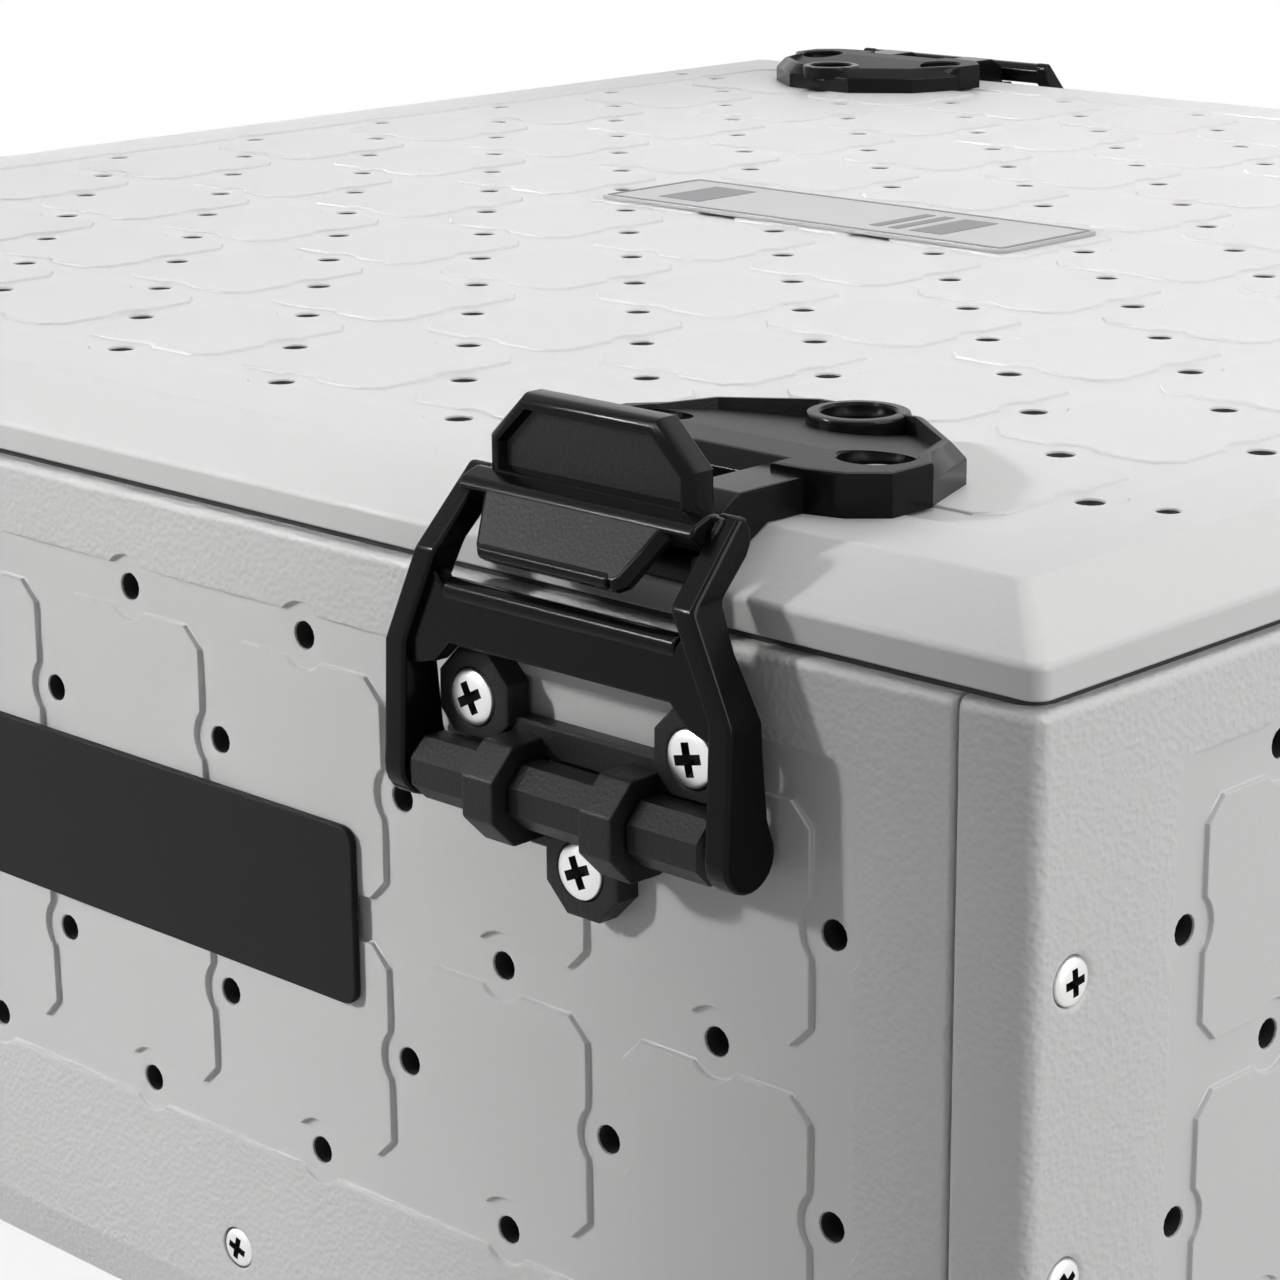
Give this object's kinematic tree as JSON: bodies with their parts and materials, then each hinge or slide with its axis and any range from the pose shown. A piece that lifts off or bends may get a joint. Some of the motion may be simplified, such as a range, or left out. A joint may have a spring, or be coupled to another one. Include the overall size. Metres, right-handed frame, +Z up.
{
  "type": "stackable storage box",
  "caption": "Low square storage box with tiled hole-lattice panels, a lift-off lid held by over-centre swing latches, and bare name plates.",
  "frame": {"origin": "middle of the footprint, on the ground under the panels", "axes": "+Z up; -Y is the front with the name plate; +X is the right end"},
  "size_m": [0.5304, 0.5608, 0.203],
  "materials": {
    "shell_plastic": "satin, fine-grained borders",
    "latch_plastic": "satin black",
    "screw_steel": "bright zinc",
    "seal_rubber": "matte",
    "nameplate_black": "satin black",
    "badge_plate": "bare plate"
  },
  "bodies": {
    "case": {"floor_panel": "shell_plastic", "front_floor_screws": "screw_steel", "front_nameplate": "nameplate_black", "front_panel": "shell_plastic", "latch_base_front_left": "latch_plastic", "latch_base_front_right": "latch_plastic", "latch_base_rear_left": "latch_plastic", "latch_base_rear_right": "latch_plastic", "latch_base_screws_front_left": "screw_steel", "latch_base_screws_front_right": "screw_steel", "latch_base_screws_rear_left": "screw_steel", "latch_base_screws_rear_right": "screw_steel", "left_corner_screws": "screw_steel", "left_end_panel": "shell_plastic", "left_floor_screws": "screw_steel", "rear_floor_screws": "screw_steel", "rear_panel": "shell_plastic", "right_corner_screws": "screw_steel", "right_end_panel": "shell_plastic", "right_floor_screws": "screw_steel"},
    "lid": {"catch_plate_front_left": "latch_plastic", "catch_plate_front_right": "latch_plastic", "catch_plate_rear_left": "latch_plastic", "catch_plate_rear_right": "latch_plastic", "catch_screws_front_left": "screw_steel", "catch_screws_front_right": "screw_steel", "catch_screws_rear_left": "screw_steel", "catch_screws_rear_right": "screw_steel", "lid_badge_plate": "badge_plate", "lid_seal": "seal_rubber", "lid_shell": "shell_plastic"},
    "latch_front_left": {"latch_frame_front_left": "latch_plastic"},
    "latch_front_right": {"latch_frame_front_right": "latch_plastic"},
    "latch_rear_left": {"latch_frame_rear_left": "latch_plastic"},
    "latch_rear_right": {"latch_frame_rear_right": "latch_plastic"}
  },
  "joints": [
    {"name": "lid_lift", "type": "slide", "parent": "case", "child": "lid", "axis": [0, 0, 1], "range_m": [0, 0.04]},
    {"name": "latch_swing_front_left", "type": "hinge", "parent": "case", "child": "latch_front_left", "pos_m": [-0.175, -0.2717, 0.137], "axis": [1, 0, 0], "range_deg": [0, 150]},
    {"name": "latch_swing_front_right", "type": "hinge", "parent": "case", "child": "latch_front_right", "pos_m": [0.175, -0.2717, 0.137], "axis": [1, 0, 0], "range_deg": [0, 150]},
    {"name": "latch_swing_rear_left", "type": "hinge", "parent": "case", "child": "latch_rear_left", "pos_m": [-0.175, 0.2717, 0.137], "axis": [-1, 0, 0], "range_deg": [0, 150]},
    {"name": "latch_swing_rear_right", "type": "hinge", "parent": "case", "child": "latch_rear_right", "pos_m": [0.175, 0.2717, 0.137], "axis": [-1, 0, 0], "range_deg": [0, 150]}
  ],
  "couplings": [
    {"joint": "latch_swing_front_left", "follows": "lid_lift", "rad_per_m": 65.4},
    {"joint": "latch_swing_front_right", "follows": "lid_lift", "rad_per_m": 65.4},
    {"joint": "latch_swing_rear_left", "follows": "lid_lift", "rad_per_m": 65.4},
    {"joint": "latch_swing_rear_right", "follows": "lid_lift", "rad_per_m": 65.4}
  ]
}
